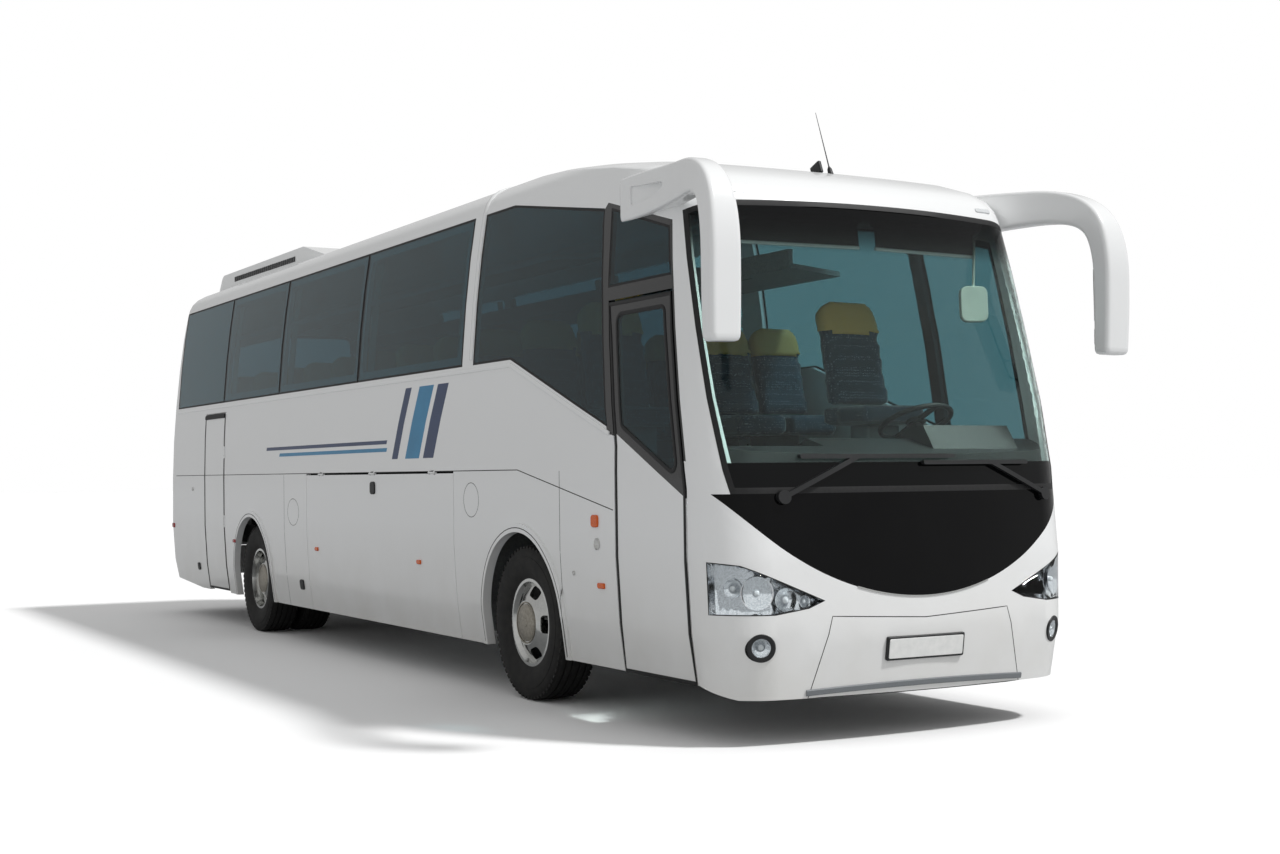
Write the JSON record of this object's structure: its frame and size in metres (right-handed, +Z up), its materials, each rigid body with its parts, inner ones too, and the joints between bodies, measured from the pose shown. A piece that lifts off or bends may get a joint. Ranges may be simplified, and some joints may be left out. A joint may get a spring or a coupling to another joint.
{
  "type": "coach bus",
  "caption": "Single-deck touring coach with hollow saloon, raked windscreen, hanging mirrors, opening doors and luggage flaps, steered front wheels and twin rear wheels.",
  "frame": {"origin": "centre of the bounding box, on the ground", "axes": "+X forward, +Y to the coach's left, +Z up"},
  "size_m": [12.1298, 2.948, 3.7197],
  "materials": {
    "white_paint": "gloss",
    "black_plastic": "gloss",
    "tinted_glass": "gloss",
    "clear_lens": "gloss",
    "red_lens": "gloss",
    "dark_steel": "satin",
    "grey_plastic": "matt",
    "black_rubber": "matt",
    "blue_fabric": "matt",
    "tyre": "matt",
    "bright_wheel": "gloss"
  },
  "bodies": {
    "body": {"air_conditioner": "white_paint", "air_springs": "black_rubber", "bumper_panel": "white_paint", "cab_floor": "grey_plastic", "chassis_frame": "dark_steel", "crew_seats": "blue_fabric", "dashboard": "black_plastic", "engine": "dark_steel", "front_axle": "dark_steel", "front_lamps": "clear_lens", "front_mask": "black_plastic", "front_panel": "white_paint", "luggage_bay": "grey_plastic", "luggage_racks": "grey_plastic", "mirrors": "white_paint", "rear_axle": "dark_steel", "rear_lamps": "red_lens", "rear_panel": "white_paint", "rear_window": "tinted_glass", "roof": "white_paint", "roof_hatches": "black_plastic", "saloon_floor": "grey_plastic", "seat_backs": "blue_fabric", "seat_cushions": "blue_fabric", "seat_pedestals": "dark_steel", "side_glass": "tinted_glass", "side_wall_left": "white_paint", "side_wall_right": "white_paint", "skirt_left": "white_paint", "skirt_right": "white_paint", "steering_wheel": "black_plastic", "windscreen": "tinted_glass", "wipers": "black_plastic"},
    "front_wheel_left": {"wheel_front_left": "bright_wheel", "tyre_front_left": "tyre"},
    "front_wheel_right": {"wheel_front_right": "bright_wheel", "tyre_front_right": "tyre"},
    "rear_wheels_left": {"wheel_rear_left": "bright_wheel", "tyre_rear_left": "tyre"},
    "rear_wheels_right": {"wheel_rear_right": "bright_wheel", "tyre_rear_right": "tyre"},
    "knuckle_left": {"knuckle_left": "dark_steel"},
    "knuckle_right": {"knuckle_right": "dark_steel"},
    "door_arms": {"door_arms": "dark_steel"},
    "front_door": {"front_door": "white_paint", "front_door_glass": "tinted_glass"},
    "service_door": {"service_door": "white_paint"},
    "luggage_flap_right": {"luggage_flap_right": "white_paint"},
    "luggage_flap_left": {"luggage_flap_left": "white_paint"},
    "engine_lid": {"engine_lid": "white_paint"}
  },
  "joints": [
    {"name": "steer_left", "type": "hinge", "parent": "body", "child": "knuckle_left", "pos_m": [3.275, 0.9, 0.51], "axis": [0, 0, 1], "range_deg": [-40, 40]},
    {"name": "steer_right", "type": "hinge", "parent": "body", "child": "knuckle_right", "pos_m": [3.275, -0.9, 0.51], "axis": [0, 0, 1], "range_deg": [-40, 40]},
    {"name": "wheel_front_left_spin", "type": "hinge", "parent": "knuckle_left", "child": "front_wheel_left", "pos_m": [3.275, 1.078, 0.51], "axis": [0, 1, 0], "continuous": true},
    {"name": "wheel_front_right_spin", "type": "hinge", "parent": "knuckle_right", "child": "front_wheel_right", "pos_m": [3.275, -1.078, 0.51], "axis": [0, 1, 0], "continuous": true},
    {"name": "wheels_rear_left_spin", "type": "hinge", "parent": "body", "child": "rear_wheels_left", "pos_m": [-2.815, 0.9, 0.51], "axis": [0, 1, 0], "continuous": true},
    {"name": "wheels_rear_right_spin", "type": "hinge", "parent": "body", "child": "rear_wheels_right", "pos_m": [-2.815, -0.9, 0.51], "axis": [0, 1, 0], "continuous": true},
    {"name": "door_post_swing", "type": "hinge", "parent": "body", "child": "door_arms", "pos_m": [5.36, -1.11, 1], "axis": [0, 0, 1], "range_deg": [0, 125]},
    {"name": "door_hang", "type": "hinge", "parent": "door_arms", "child": "front_door", "pos_m": [4.88, -1.15, 1], "axis": [0, 0, 1], "range_deg": [-125, 0]},
    {"name": "service_door_hinge", "type": "hinge", "parent": "body", "child": "service_door", "pos_m": [-3.727, -1.271, 1.2], "axis": [0, 0, 1], "range_deg": [0, 100]},
    {"name": "luggage_flap_right_hinge", "type": "hinge", "parent": "body", "child": "luggage_flap_right", "pos_m": [0.545, -1.272, 1.512], "axis": [-1, 0, 0], "range_deg": [0, 85]},
    {"name": "luggage_flap_left_hinge", "type": "hinge", "parent": "body", "child": "luggage_flap_left", "pos_m": [0.545, 1.272, 1.512], "axis": [1, 0, 0], "range_deg": [0, 85]},
    {"name": "engine_lid_hinge", "type": "hinge", "parent": "body", "child": "engine_lid", "pos_m": [-6.029, 0, 1.808], "axis": [0, 1, 0], "range_deg": [0, 75]}
  ],
  "couplings": [
    {"joint": "steer_right", "follows": "steer_left", "ratio": 1},
    {"joint": "door_hang", "follows": "door_post_swing", "ratio": -1}
  ]
}
